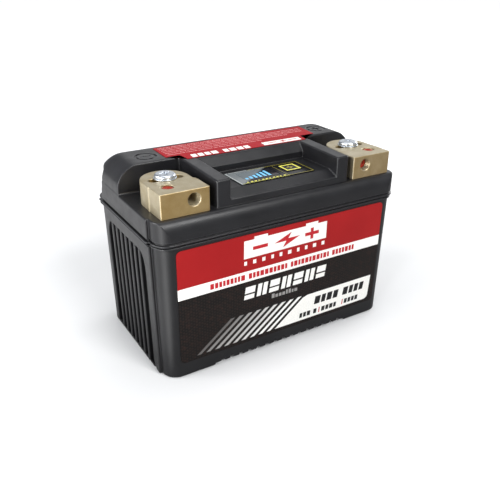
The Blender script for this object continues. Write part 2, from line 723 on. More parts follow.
def plastic(name, dark, light, rough=0.42, grain=2600.0, grain_bump=0.28, spec=0.5, worn=None, deep=False, glow=0.0):
    """Moulded black or coloured plastic: fine spark-eroded grain, cloudy gloss, soft wear on raised edges, faint dust in hollows."""
    k = Look(name, rough, 0.0, spec)
    cloud = k.noise(38.0, 4.0, 0.55)
    base = k.mix(k.span(cloud, 0.3, 0.7), dark, light)
    edge = k.span(k.f("MULTIPLY", k.attr("edge"), k.span(k.noise(420.0, 4.0, 0.6), 0.35, 0.7, 0.4, 1.0)), 0.12, 0.75, 0.0, 0.8)
    base = k.mix(edge, base, worn or tuple(min(1.0, c * 3.0 + 0.022) for c in light[:3]) + (1.0,))
    dust = k.f("MULTIPLY", k.span(k.attr("hollow"), 0.25, 0.9), k.span(k.noise(900.0, 3.0), 0.5, 0.75, 0.0, 0.10))
    base = k.mix(k.span(k.attr("hollow"), 0.15, 0.8, 0.0, 0.85), base, (0.002, 0.002, 0.002, 1.0))
    if deep:
        base = k.mix(k.span(k.attr("deep"), 0.25, 0.95, 0.0, 0.8), base, (0.002, 0.002, 0.002, 1.0))
        k.set("Specular IOR Level", k.span(k.attr("deep"), 0.25, 0.95, spec, 0.12))
    base = k.mix(dust, base, srgb(96, 92, 86))
    k.set("Base Color", base)
    scuff = k.noise(60.0, 5.0, 0.7, k.stretch(1.0, 1.0, 7.0))
    r = k.span(k.noise(120.0, 5.0, 0.6), 0.3, 0.7, rough - 0.05, rough + 0.07)
    r = k.f("ADD", r, k.span(scuff, 0.55, 0.75, 0.0, -0.06))
    k.set("Roughness", k.f("SUBTRACT", r, k.f("MULTIPLY", edge, 0.12)))
    fine = k.f("ADD", k.noise(grain, 2.0, 0.6), k.f("MULTIPLY", k.voronoi(grain * 0.55), 0.5))
    n = k.bump(fine, grain_bump, 0.035)
    n = k.bump(k.noise(55.0, 3.0, 0.5), 0.10, 0.25, n)
    k.set("Normal", n)
    if glow:                                                                # light carried through to a sunk front face
        ny = k.xyz(k.new("ShaderNodeNewGeometry").outputs["True Normal"])[1]
        k.set("Emission Color", light)
        k.set("Emission Strength", k.span(ny, -0.9, -0.98, 0.0, glow))
    return k


CARBON0, CARBON1 = srgb(7, 6, 6), srgb(38, 30, 27)


def weave(k, u, v, cell):
    """Honeycomb weave: brightness between 0 and 1 from two coordinates in metres."""
    s = 4 * math.pi / (math.sqrt(3.0) * cell * MM)
    c1 = k.f("COSINE", k.f("MULTIPLY", u, s))
    a = k.f("MULTIPLY", u, -0.5 * s)
    b = k.f("MULTIPLY", v, 0.8660254 * s)
    c2 = k.f("COSINE", k.f("ADD", a, b))
    c3 = k.f("COSINE", k.f("SUBTRACT", a, b))
    return k.span(k.f("ADD", c1, k.f("ADD", c2, c3)), -1.5, 3.0)


def make_materials():
    M = {}
    M["case_black"] = plastic("moulded_black", srgb(18, 18, 20), srgb(28, 28, 30), rough=0.34, deep=True).m
    M["lid_black"] = plastic("moulded_black_lid", srgb(18, 18, 20), srgb(29, 29, 32), rough=0.35).m
    M["holder_grey"] = plastic("holder_plastic", srgb(52, 52, 54), srgb(66, 66, 68), rough=0.55).m
    M["component_black"] = plastic("component_black", srgb(20, 20, 21), srgb(30, 30, 31), rough=0.5).m
    M["connector_white"] = plastic("connector_nylon", srgb(212, 206, 190), srgb(232, 228, 214), rough=0.45, worn=srgb(240, 238, 230)).m
    M["plug_red"] = plastic("plug_red", srgb(134, 32, 14), srgb(164, 48, 24), glow=0.08, rough=0.5, spec=0.3, worn=srgb(200, 82, 54)).m

    # front label: red field, white band, woven black field below, under a clear film
    k = Look("front_label_print", 0.3, 0.0, 0.32)
    x, y, z = k.xyz()
    u, v = k.f("ADD", x, z), k.f("SUBTRACT", x, z)
    w = weave(k, x, z, 1.7)
    dark = k.mix(k.f("POWER", w, 1.3), CARBON0, CARBON1)
    dark = k.mix(k.span(k.noise(700.0, 2.0), 0.48, 0.75, 0.0, 0.4), dark, srgb(58, 36, 30))
    red = k.mix(k.span(k.noise(30.0, 3.0), 0.3, 0.7), srgb(150, 17, 20), srgb(162, 23, 25))
    red = k.mix(k.span(k.noise(2400.0, 1.0), 0.45, 0.7, 0.0, 0.12), red, srgb(120, 12, 14))
    white = srgb(243, 243, 238)
    c = k.mix(k.f("GREATER_THAN", z, 46.2 * MM), dark, white)
    c = k.mix(k.f("GREATER_THAN", z, 52.3 * MM), c, red)
    k.set("Base Color", c)
    k.set("Roughness", k.span(k.noise(200.0, 4.0, 0.6), 0.3, 0.7, 0.30, 0.42))
    n = k.bump(k.noise(160.0, 2.0, 0.4), 0.10, 0.12)
    n = k.bump(w, k.f("MULTIPLY", k.f("LESS_THAN", z, 46.2 * MM), 0.25), 0.03, n)
    n = k.bump(k.noise(3000.0, 2.0, 0.5), 0.10, 0.02, n)
    k.set("Normal", n)
    M["label_front"] = k.m


    k = Look("top_label_print", 0.46, 0.0, 0.12)
    red = k.mix(k.span(k.noise(34.0, 3.0), 0.3, 0.7), srgb(148, 12, 22), srgb(162, 18, 30))
    k.set("Base Color", k.mix(k.span(k.noise(2400.0, 1.0), 0.45, 0.7, 0.0, 0.12), red, srgb(122, 12, 18)))
    k.set("Roughness", k.span(k.noise(200.0, 4.0, 0.6), 0.3, 0.7, 0.42, 0.54))
    k.set("Normal", k.bump(k.noise(160.0, 2.0, 0.4), 0.12, 0.12))
    M["label_top"] = k.m

    def ink(name, colour, var=0.06, rough=0.4, fade=None, lit=0.0):
        k = Look(name, rough, 0.0, 0.4)
        low = tuple(c * (1 - var * 2) for c in colour[:3]) + (1.0,)
        c = k.mix(k.span(k.noise(1500.0, 3.0, 0.6), 0.35, 0.7), colour, low)
        if fade:
            x = k.xyz()[0]
            z = k.xyz()[2]
            run = k.f("SUBTRACT", x, k.f("MULTIPLY", z, 1.25))
            c = k.mix(k.span(run, fade[0] * MM, fade[1] * MM), fade[2], c)
        k.set("Base Color", c)
        if lit:
            k.set("Emission Color", c)
            k.set("Emission Strength", lit)
        k.set("Roughness", k.span(k.noise(700.0, 3.0), 0.3, 0.7, rough - 0.06, rough + 0.08))
        k.set("Normal", k.bump(k.noise(2600.0, 2.0), 0.12, 0.02))
        return k.m
    M["ink_white"] = ink("ink_white", srgb(246, 245, 240))
    M["ink_red"] = ink("ink_red", srgb(186, 30, 40))
    M["ink_dark"] = ink("ink_dark", srgb(22, 20, 20))
    M["ink_grey"] = ink("ink_grey", srgb(150, 148, 146))
    M["ink_pink"] = ink("ink_pink", srgb(228, 158, 158), var=0.12)
    M["ink_stripe"] = ink("ink_stripe", srgb(244, 243, 240), fade=(-72.0, -30.0, srgb(44, 38, 36)))
    M["ink_cyan"] = ink("ink_cyan", srgb(118, 196, 238), rough=0.25, lit=0.18)
    M["ink_yellow"] = ink("ink_yellow", srgb(236, 231, 96), rough=0.25, lit=0.15)
    M["ink_olive"] = ink("ink_olive", srgb(150, 140, 52), rough=0.3)
    M["ink_silver"] = ink("ink_silver", srgb(196, 200, 198), rough=0.3)

    # display film: glossy black, with a silver-grey field that ends on a slanted line
    k = Look("display_film", 0.16, 0.0, 0.2)
    x, y, z = k.xyz()
    line = k.f("SUBTRACT", k.f("MULTIPLY", k.f("SUBTRACT", x, -1.3 * MM), 0.787), k.f("SUBTRACT", y, -16.6 * MM))
    grey = k.span(line, 0.5 * MM, -1.4 * MM)
    deep = k.mix(k.span(k.noise(120.0, 2.0), 0.4, 0.7), srgb(5, 5, 9), srgb(9, 10, 18))
    shine = k.mix(k.span(k.noise(90.0, 3.0), 0.3, 0.7), srgb(104, 109, 112), srgb(132, 138, 140))
    k.set("Base Color", k.mix(grey, deep, shine))
    k.set("Roughness", k.span(k.noise(500.0, 3.0), 0.3, 0.7, 0.13, 0.22))
    k.set("Normal", k.bump(k.noise(220.0, 2.0), 0.08, 0.08))
    M["display_film"] = k.m

    k = Look("window_glass", 0.08, 0.0, 0.2)
    x, y, z = k.xyz()
    line = k.f("SUBTRACT", k.f("MULTIPLY", k.f("SUBTRACT", x, -1.3 * MM), 0.787), k.f("SUBTRACT", y, -16.6 * MM))
    grey = k.span(line, 0.5 * MM, -1.4 * MM)
    deep = k.mix(k.span(k.noise(160.0, 2.0), 0.4, 0.7), srgb(5, 6, 14), srgb(9, 13, 28))
    k.set("Base Color", k.mix(grey, deep, srgb(112, 120, 124)))
    k.set("Roughness", k.span(k.noise(400.0, 2.0), 0.3, 0.7, 0.06, 0.12))
    k.set("Coat Weight", 0.12)
    k.set("Coat Roughness", 0.05)
    k.set("Normal", k.bump(k.noise(150.0, 2.0), 0.05, 0.05))
    M["display_window"] = k.m

    k = Look("key_cap", 0.3, 0.0, 0.5)
    k.set("Base Color", k.mix(k.span(k.noise(300.0, 3.0), 0.3, 0.7), srgb(12, 12, 15), srgb(22, 22, 27)))
    k.set("Roughness", k.span(k.noise(900.0, 3.0), 0.3, 0.7, 0.24, 0.36))
    k.set("Normal", k.bump(k.noise(1800.0, 2.0), 0.15, 0.03))
    M["key_print"] = k.m

    def metal(name, lo, hi, rough, brush=(1.0, 1.0, 1.0), scale=900.0, strength=0.12, tarnish=None, radial=None, metal=1.0, sawn=None, cast=None):
        k = Look(name, rough, metal, 0.5)
        vec = k.stretch(*brush)
        if radial:
            x, y, z = k.xyz()
            dx, dy = k.f("SUBTRACT", k.f("ABSOLUTE", x), radial[0] * MM), k.f("SUBTRACT", y, radial[1] * MM)
            rad = k.f("SQRT", k.f("ADD", k.f("MULTIPLY", dx, dx), k.f("MULTIPLY", dy, dy)))
            cmb = k.new("ShaderNodeCombineXYZ")
            k.put(cmb.inputs[0], k.f("MULTIPLY", rad, 6.0))
            k.put(cmb.inputs[1], k.f("MULTIPLY", z, 6.0))
            vec = cmb.outputs[0]
        lines = k.noise(scale, 4.0, 0.65, vec)
        c = k.mix(k.span(k.noise(140.0, 5.0, 0.6), 0.3, 0.7), lo, hi)
        if tarnish:
            c = k.mix(k.span(k.noise(210.0, 6.0, 0.7), 0.55, 0.8, 0.0, 0.22), c, tarnish)
        if sawn:
            ny = k.xyz(k.new("ShaderNodeNewGeometry").outputs["True Normal"])[1]
            c = k.mix(k.span(ny, -0.72, -0.95), k.mix(1.0, c, cast, "MULTIPLY"), k.mix(1.0, c, k.mix(k.span(k.xyz()[0], -0.02, 0.02), sawn, (0.95, 0.93, 0.93, 1.0)), "MULTIPLY"))
        c = k.mix(k.f("MULTIPLY", k.attr("edge"), 0.45), c, tuple(min(1.0, q * 1.25) for q in hi[:3]) + (1.0,))
        c = k.mix(k.f("MULTIPLY", k.attr("hollow"), 0.12 if sawn else 0.35), c, tuple(q * 0.35 for q in lo[:3]) + (1.0,))
        k.set("Base Color", c)
        k.set("Roughness", k.span(lines, 0.25, 0.75, rough - 0.08, rough + 0.12))
        n = k.bump(lines, strength, 0.03)
        n = k.bump(k.noise(300.0, 4.0, 0.6), strength * 0.8, 0.06, n)
        k.set("Normal", n)
        return k.m
    M["terminal_brass"] = metal("cast_brass", srgb(176, 153, 108), srgb(194, 174, 134), 0.44, (1.0, 0.12, 1.0), 1500.0, 0.12, srgb(150, 118, 72), metal=0.85, sawn=(0.92, 0.85, 0.71, 1.0), cast=(1.0, 1.14, 1.5, 1.0))
    M["screw_steel"] = metal("zinc_steel", srgb(200, 206, 214), srgb(224, 229, 236), 0.3, scale=700.0, strength=0.03, tarnish=srgb(170, 172, 170), radial=SCREW_C)
    M["nickel"] = metal("nickel_strip", srgb(170, 168, 160), srgb(196, 194, 186), 0.3, (0.1, 1.0, 1.0), 1200.0, 0.14, srgb(140, 134, 122))

    k = Look("cell_sleeve", 0.35, 0.0, 0.5)
    k.set("Base Color", k.mix(k.span(k.noise(60.0, 3.0), 0.3, 0.7), srgb(38, 92, 140), srgb(48, 108, 158)))
    k.set("Roughness", k.span(k.noise(300.0, 4.0), 0.3, 0.7, 0.26, 0.42))
    k.set("Normal", k.bump(k.noise(90.0, 4.0, 0.6, k.stretch(1, 1, 0.15)), 0.2, 0.2))
    M["cell_sleeve"] = k.m

    k = Look("board_green", 0.4, 0.0, 0.5)
    tr = k.f("GREATER_THAN", k.wave(160.0, k.stretch(1, 1, 1), 3.0, "Y"), 0.6)
    pad = k.f("LESS_THAN", k.voronoi(330.0), 0.22)
    c = k.mix(k.f("MULTIPLY", tr, 0.6), srgb(16, 70, 38), srgb(34, 104, 58))
    k.set("Base Color", k.mix(pad, c, srgb(190, 186, 170)))
    k.set("Metallic", k.f("MULTIPLY", pad, 0.8))
    k.set("Roughness", k.span(k.noise(500.0), 0.3, 0.7, 0.3, 0.45))
    k.set("Normal", k.bump(tr, 0.3, 0.05))
    M["board_green"] = k.m

    k = Look("foam_grey", 0.95, 0.0, 0.2)
    cells = k.voronoi(900.0)
    k.set("Base Color", k.mix(k.span(cells, 0.1, 0.6), srgb(88, 88, 92), srgb(52, 52, 56)))
    k.set("Normal", k.bump(cells, 0.6, 0.3))
    M["foam_grey"] = k.m

    def sleeve(name, lo, hi):
        k = Look(name, 0.4, 0.0, 0.5)
        k.set("Base Color", k.mix(k.span(k.noise(200.0, 4.0), 0.3, 0.7), lo, hi))
        k.set("Roughness", k.span(k.noise(500.0, 3.0), 0.3, 0.7, 0.34, 0.5))
        k.set("Normal", k.bump(k.noise(700.0, 3.0), 0.2, 0.05))
        return k.m
    M["cable_red"] = sleeve("cable_red", srgb(150, 22, 18), srgb(176, 34, 26))
    M["cable_black"] = sleeve("cable_black", srgb(20, 20, 21), srgb(32, 32, 34))

    # floor: pale, with a slight mottling
    k = Look("studio_floor", 0.6, 0.0, 0.25)
    seen = k.new("ShaderNodeLightPath").outputs["Is Camera Ray"]
    x, y, z = k.xyz()
    away = k.f("SQRT", k.f("ADD", k.f("MULTIPLY", x, x), k.f("MULTIPLY", y, y)))
    pale = k.mix(k.span(k.noise(6.0, 3.0), 0.3, 0.7), (0.73, 0.735, 0.74, 1), (0.76, 0.765, 0.77, 1))
    # a white card on the floor at the front left, that only the object sees
    px, py = k.f("ADD", x, 0.069), k.f("ADD", y, 0.038)
    t = k.f("SUBTRACT", k.f("MULTIPLY", px, -0.855), k.f("MULTIPLY", py, 0.519))
    side = k.f("SUBTRACT", k.f("MULTIPLY", px, 0.519), k.f("MULTIPLY", py, 0.855))
    turn = k.f("DIVIDE", side, k.f("MAXIMUM", t, 0.004))
    glow = k.f("POWER", 2.718, k.f("MULTIPLY", k.f("MULTIPLY", turn, turn), -9.0))
    glow = k.f("MULTIPLY", glow, k.span(t, 0.004, 0.03))
    card = k.span(k.f("SUBTRACT", x, k.f("MULTIPLY", y, 0.15)), -0.11, -0.075, 0.62, 0.26)
    rest = k.new("ShaderNodeCombineColor")
    for i in range(3):
        k.put(rest.inputs[i], card)
    k.set("Base Color", k.mix(seen, rest.outputs[0], pale))
    k.set("Emission Color", (1.0, 1.0, 1.0, 1.0))
    hid = k.f("MULTIPLY", k.f("SUBTRACT", 1.0, seen), k.f("MULTIPLY", glow, 1.9))
    k.set("Emission Strength", k.f("ADD", hid, k.f("MULTIPLY", seen, k.span(away, 0.12, 0.7, 0.0, 0.8))))
    k.set("Roughness", k.span(k.noise(40.0, 3.0), 0.3, 0.7, 0.55, 0.7))
    M["floor"] = k.m
    return M


def dress(ob, material, body=None, stands_for=()):
    ob.data.materials.clear()
    ob.data.materials.append(material)
    if body:
        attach(ob, body)
    if stands_for:
        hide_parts(*stands_for)
    return ob


def wear_map(ob, f, h=0.7, deep=None):
    """Per-vertex measure of raised edges and of hollows, for the materials."""
    me = ob.data
    p = coords(me)
    n = gradient(f, p, 0.05)
    n /= np.maximum(np.linalg.norm(n, axis=1), 1e-9)[:, None]
    a, b = p - n * h, p + n * h
    edge = np.clip((h + f(a[:, 0], a[:, 1], a[:, 2])) / h, 0, 1)
    hollow = np.clip((h - f(b[:, 0], b[:, 1], b[:, 2])) / h, 0, 1)
    extra = [("deep", deep(p))] if deep else []
    for name, val in [("edge", edge), ("hollow", hollow)] + extra:
        at = me.attributes.new(name, "FLOAT", "POINT")
        at.data.foreach_set("value", val.astype(F32))

# ------------------------------------------------------------------ build
M = make_materials()
coarse = 1.0      # grid steps grow while trying things
keep = 0.42


def q(zones):
    return [(a, b, s * coarse) for a, b, s in zones]


# case
xs = ticks(-HX - 0.6, HX + 0.6, 1.6, mirrored(q([(66.0, HX + 0.6, 0.36)])) + q([(-44.6, 44.6, 0.55)]))
ys = ticks(-HY - 0.6, HY + 0.6, 1.2, mirrored(q([(38.6, HY + 0.6, 0.36), (25.4, 34.0, 0.5)])) + q([(-25.4, 25.4, 0.4)]))
zs = ticks(-0.6, CASE_TOP + 0.6, 2.6, q([(-0.6, 3.6, 0.3), (3.6, 8.0, 0.8), (54.0, 69.0, 0.55), (73.2, CASE_TOP + 0.6, 0.16)]))
ob = field_mesh("case_shell", case_field, xs, ys, zs, keep)
wear_map(ob, case_field, 0.7, lambda p: np.where((np.abs(p[:, 1]) < FLUTE_END + 0.6) & (p[:, 2] < FLUTE_TOP + 0.6) & (np.abs(p[:, 0]) > 68.0),
                                              np.clip((BX - DRAFT * (CASE_TOP - p[:, 2]) / CASE_TOP - np.abs(p[:, 0])) / FLUTE_DEPTH, 0, 1), 0.0))
dress(ob, M["case_black"], "base", ("case",))

# lid
xs = ticks(-HX - 0.6, HX + 0.6, 1.5, mirrored(q([(71.5, HX + 0.6, 0.32), (47.6, 63.6, 0.26), (37.4, 41.6, 0.36), (30.6, 34.0, 0.36)])) + q([(-20.0, 21.0, 0.8)]))
ys = ticks(-HY - 0.6, HY + 0.6, 1.2, q([(-HY - 0.6, -36.4, 0.3), (-36.4, -30.4, 0.6), (-9.0, -2.4, 0.3), (1.0, 5.0, 0.34), (5.8, 20.6, 0.26), (39.0, HY + 0.6, 0.34)]))
zs = ticks(70.6, HUMP_TOP + 0.7, 1.6, q([(Z_LIP0 - 0.4, Z_WALL + 0.5, 0.14), (Z_WALL + 0.5, 90.2, 0.5), (90.2, 101.0, 0.6), (101.0, HUMP_TOP + 0.7, 0.2)]))
ob = field_mesh("lid_shell", lid_field, xs, ys, zs, keep)
wear_map(ob, lid_field)
dress(ob, M["lid_black"], "base", ("lid",))

# terminal blocks
st = 0.24
xs = ticks(blk_lo[0] - 0.6, blk_hi[0] + 0.6, st, [])
ys = ticks(blk_lo[1] - 0.6, blk_hi[1] + 0.6, st, [])
zs = ticks(blk_lo[2] - 0.6, blk_hi[2] + 0.6, st, [])
for side, m in (("right", False), ("left", True)):
    ob = field_mesh("terminal_brass_" + side, block_field, xs, ys, zs, 0.35, m)
    fn = (lambda x, y, z: block_field(-x, y, z)) if m else block_field
    wear_map(ob, fn, 0.5)
    dress(ob, M["terminal_brass"], "base", ("terminal_block_" + side,))

# screws
st = 0.13
xs = ticks(scr_lo[0] - 0.4, scr_hi[0] + 0.4, st, [])
ys = ticks(scr_lo[1] - 0.4, scr_hi[1] + 0.4, st, [])
zs = ticks(scr_lo[2] - 0.4, scr_hi[2] + 0.4, st, [])
for side, m in (("right", False), ("left", True)):
    ob = field_mesh("pan_head_screw_" + side, screw_field, xs, ys, zs, 0.4, m, 0.03)
    fn = (lambda x, y, z: screw_field(-x, y, z)) if m else screw_field
    wear_map(ob, fn, 0.25)
    dress(ob, M["screw_steel"], "screw_" + side, ("terminal_screw_" + side,))

# washers and thread plugs
for side, s in (("right", 1), ("left", -1)):
    c = (s * SCREW_C[0], SCREW_C[1], 0)
    r1 = (was_hi[0] - was_lo[0]) / 2
    prof = rounded([(3.37, was_lo[2]), (r1, was_lo[2]), (r1, was_hi[2]), (3.37, was_hi[2])], 0.22)
    ob = lathe("washer_disc_" + side, prof, c, segs=128)
    dress(ob, M["screw_steel"], "washer_" + side, ("washer_" + side,))
    z0, z1 = tpl_lo[2], tpl_hi[2] - 0.15
    r = (tpl_hi[0] - tpl_lo[0]) / 2
    prof = [(0, z0)] + rounded([(0, z0), (r - 0.35, z0), (r, z0 + 0.6), (r, z0 + 2.2), (r - 0.22, z0 + 2.5), (r, z0 + 2.8), (r, z0 + 4.2), (r - 0.22, z0 + 4.5), (r, z0 + 4.8),
                                (r, z1 - 0.5), (r - 0.45, z1), (r * 0.45, z1), (r * 0.36, z1 - 0.35), (0, z1 - 0.4)], 0.18, 3, closed=False)[1:]
    ob = lathe("top_hole_plug_" + side, prof, (s * TOP_C[0], TOP_C[1], 0), segs=96)
    dress(ob, M["plug_red"], "top_plug_" + side, ("top_plug_" + side,))
y0, y1 = fpl_lo[1], fpl_hi[1]
r = (fpl_hi[0] - fpl_lo[0]) / 2
ln = y1 - y0
prof = rounded([(0, 0), (r - 0.35, 0), (r, 0.6), (r, 2.2), (r - 0.22, 2.5), (r, 2.8), (r, ln - 0.5), (r - 0.45, ln), (r * 0.45, ln), (r * 0.36, ln - 0.55), (0, ln - 0.6)], 0.18, 3, closed=False)
prof = [(a, -b) for a, b in prof]                                        # its dimpled end faces forwards
ob = lathe("front_hole_plug_right", prof, (FRONT_C[0], y1, FRONT_C[1]), axis="y", segs=96)
dress(ob, M["plug_red"], "front_plug_right", ("front_plug_right",))


# front label: its sheet follows the drafted wall
def on_front(u, v, d):
    """Point on the face of the front label: u along X, v up, d outwards."""
    y = label_lo[1] + 0.0
    full = -(HY - 1.3) - 0.35
    return (u, full + DRAFT * (CASE_TOP - v) / CASE_TOP - d, v)


def on_top(u, v, d):
    return (u, v, toplab_hi[2] - 0.05 + d)


def on_film(u, v, d):
    return (u, v, film_hi[2] + d)


def on_window(u, v, d):
    return (u, v, win_hi[2] + d)


def on_key(u, v, d):
    return (u, v, key_hi[2] + d)


sheet = round_rect(label_lo[0], label_hi[0], label_lo[2], label_hi[2], 2.6, 10)
ob = prisms("front_label_sheet", [sheet], on_front, -0.3, 0.0, 0.07)
dress(ob, M["label_front"], "base", ("front_label",))

INK = (-0.03, 0.025)


def ink(name, polys, place, material, slot, body="base", depth=INK):
    ob = prisms(name, polys, place, depth[0], depth[1])
    return dress(ob, material, body)


# battery pictogram with a bolt, in place of a mark
white, logo = [], []
bx0, bx1, bz0, bz1 = -27.2, 24.6, 59.6, 69.6
white += [rect(bx0, bx1, bz0, bz1), rect(bx0 + 6, bx0 + 14, bz1 - 0.05, bz1 + 1.4), rect(bx1 - 14, bx1 - 6, bz1 - 0.05, bz1 + 1.4)]
zc = (bz0 + bz1) / 2
logo += [rect(bx0 + 5.2, bx0 + 14.2, zc - 0.95, zc + 0.95)]                                            # minus
logo += [rect(bx1 - 14.2, bx1 - 5.2, zc - 0.95, zc + 0.95), rect(bx1 - 10.65, bx1 - 8.75, zc + 0.9, zc + 3.2), rect(bx1 - 10.65, bx1 - 8.75, zc - 3.2, zc - 0.9)]   # plus
logo += [[(-9.0, zc - 0.5), (1.6, zc + 3.9), (-0.4, zc + 0.7), (7.0, zc + 0.7), (-3.6, zc - 3.9), (-1.6, zc - 0.5)]]                                # bolt
white += greek(-27.0, 24.6, 55.9, 2.2, 0.0, (1, 2), 1.1, 11, even=True, wide=(0.7, 1.0))               # spaced row
# large word in blocks
for i in range(7):
    x0 = -27.0 + 7.72 * i
    if i % 2:
        white += [rect(x0, x0 + 2.5, 35.6, 42.9, 1.1), rect(x0 + 3.5, x0 + 6.1, 35.6, 42.9, 1.1)]
    else:
        white += [rect(x0, x0 + 6.1, 35.6, 38.2, 0.4), [(x0 + 0.5, 39.1), (x0 + 6.6, 39.1), (x0 + 7.2, 42.9), (x0 + 1.1, 42.9)]]
# panel at the lower right
panel = [(-6.9, 10.9), (57.0, 10.9)] + arc(57.0, 13.9, 3.0, 3.0, 270, 360, 6)[1:] + [(60.9, 26.6), (14.6, 26.6), (11.4, 25.6)]
white += [panel]
ink("print_white", white, on_front, M["ink_white"], "label_front")
ink("print_logo_red", logo, on_front, M["ink_red"], "label_front", depth=(0.02, 0.045))
stripes = [rect(-6.9 - 5.35 * i - 2.55, -6.9 - 5.35 * i - 0.0 - 0.1, 10.9, 27.0, 20.6)[:4] for i in range(1, 10)]
stripes = [[(-6.9 - 5.35 * i, 10.9), (-6.9 - 5.35 * i + 2.5, 10.9), (-6.9 - 5.35 * i + 2.5 + 20.2, 26.9), (-6.9 - 5.35 * i + 20.2, 26.9)] for i in range(1, 10)]
ink("print_stripes", stripes, on_front, M["ink_stripe"], "label_front")
ink("print_red", greek(-46.5, 46.0, 47.6, 3.1, 0.0, (4, 12), 0.2, 5, even=True), on_front, M["ink_red"], "label_front")
ink("print_grey", greek(-9.6, 9.4, 31.6, 2.6, 0.0, (8, 9), 0.24, 9), on_front, M["ink_grey"], "label_front")
dark = greek(19.5, 56.5, 18.7, 5.0, 0.16, (4, 5), 0.2, 31, even=True, wide=(0.56, 0.8))
dark += greek(9.6, 21.8, 12.6, 3.0, 0.1, (3, 4), 0.22, 3, even=True, wide=(0.6, 0.8)) + greek(25.0, 38.8, 12.6, 3.0, 0.1, (4, 5), 0.22, 4, even=True, wide=(0.6, 0.8)) + greek(41.8, 55.5, 12.6, 3.0, 0.1, (4, 5), 0.22, 6, even=True, wide=(0.6, 0.8))
ink("print_dark", dark, on_front, M["ink_dark"], "label_front", depth=(0.02, 0.045))
ink("print_bars", [rect(23.0, 23.7, 12.4, 15.8, 0.3), rect(40.0, 40.7, 12.4, 15.8, 0.3)], on_front, M["ink_red"], "label_front", depth=(0.02, 0.045))

# top label
z0, z1 = float(toplab_lo[2]), float(toplab_hi[2])
outline = [(-46.2, 4.6), (-38.4, 4.6), (-37.4, -3.1), (37.4, -3.1), (38.4, 4.6), (48.6, 4.6), (50.4, 22.8), (-45.8, 22.8)]
soft = []
for i, p in enumerate(outline):
    a, b, c = np.array(outline[i - 1]), np.array(p), np.array(outline[(i + 1) % len(outline)])
    s, e = b + (a - b) / np.linalg.norm(a - b) * 0.8, b + (c - b) / np.linalg.norm(c - b) * 0.8
    soft += [tuple((1 - t) ** 2 * s + 2 * t * (1 - t) * b + t * t * e) for t in np.linspace(0, 1, 5)]
ob = prisms("top_label_sheet", [soft], on_top, z0 - z1 + 0.05, 0.0, 0.05)
dress(ob, M["label_top"], "base", ("top_label",))
rows = []
for i, (y, h, x0, x1) in enumerate([(20.2, 1.0, -44, 22), (17.9, 0.9, -44, 47), (15.3, 0.9, -44, 47), (12.7, 0.9, -44, 47), (10.0, 0.9, -44, 34), (7.2, 0.9, -44, 14)]):
    rows += greek(x0, x1, y, h, 0.0, (4, 14), 0.3, 40 + i)
ink("top_print_lines", rows, on_top, M["ink_pink"], "label_top")
rows = greek(-34.0, 2.6, -2.2, 4.8, 0.14, (4, 6), 0.2, 51, even=True, wide=(0.56, 0.8))
rows += [rect(10.0, 35.0, -2.3, 2.9, 0.8)]
ink("top_print_mark", [rect(13.4, 19.4, 0.0, 0.9), rect(27.6, 33.2, 0.0, 0.9), rect(29.9, 30.9, -1.6, 0.02), rect(29.9, 30.9, 0.88, 2.3), [(20.4, -0.1), (25.6, 2.3), (24.6, 0.5), (28.0, 0.5), (22.6, -1.9), (23.6, -0.1)]][:2] + [[(20.6, -0.1), (25.4, 2.2), (24.4, 0.55), (26.8, 0.55), (22.2, -1.7), (23.2, -0.1)]],
    on_top, M["ink_red"], "label_top", depth=(0.02, 0.045))
ink("top_print_blocks", rows, on_top, M["ink_white"], "label_top")

# display film, window and key
cut = 0.0
fx0, fx1, fy0, fy1 = float(film_lo[0]), float(film_hi[0]), float(film_lo[1]), float(film_hi[1])
wx0, wx1, wy0, wy1 = win_lo[0] - 0.2, win_hi[0] + 0.2, win_lo[1] - 0.2, win_hi[1] + 0.2
kx0, kx1, ky0, ky1 = key_lo[0] - 0.3, key_hi[0] + 0.3, key_lo[1] - 0.3, key_hi[1] + 0.3


def film_field(x, y, z):
    s = box2(x, y, fx0, fx1, fy0, fy1, 0.8)
    s = np.maximum(s, -box2(x, y, wx0, wx1, wy0, wy1, 0.4))
    s = np.maximum(s, -box2(x, y, kx0, kx1, ky0, ky1, 0.5))
    return rmax(s, np.abs(z - (film_lo[2] + film_hi[2]) / 2) - (film_hi[2] - film_lo[2]) / 2, 0.08)


xs = ticks(fx0 - 0.4, fx1 + 0.4, 0.6, [(fx0 - 0.4, fx0 + 1.0, 0.14), (wx0 - 0.5, wx0 + 0.5, 0.14), (wx1 - 0.5, wx1 + 0.5, 0.14), (kx0 - 0.6, kx0 + 0.6, 0.14), (kx1 - 0.6, kx1 + 0.6, 0.14), (fx1 - 1.0, fx1 + 0.4, 0.14)])
ys = ticks(fy0 - 0.4, fy1 + 0.4, 0.6, [(fy0 - 0.4, fy0 + 1.0, 0.14), (wy0 - 0.5, ky0 + 0.6, 0.14), (ky1 - 0.6, wy1 + 0.5, 0.14), (fy1 - 1.0, fy1 + 0.4, 0.14)])
zs = ticks(film_lo[2] - 0.2, film_hi[2] + 0.2, 0.08, [])
ob = field_mesh("display_film", film_field, xs, ys, zs, 0.4, False, 0.02)
dress(ob, M["display_film"], "base", ("display_overlay",))


def pillow(lo, hi, r, edge):
    def f(x, y, z):
        s = box2(x, y, lo[0], hi[0], lo[1], hi[1], r)
        return rmax(s, np.abs(z - (lo[2] + hi[2]) / 2) - (hi[2] - lo[2]) / 2, edge)
    return f


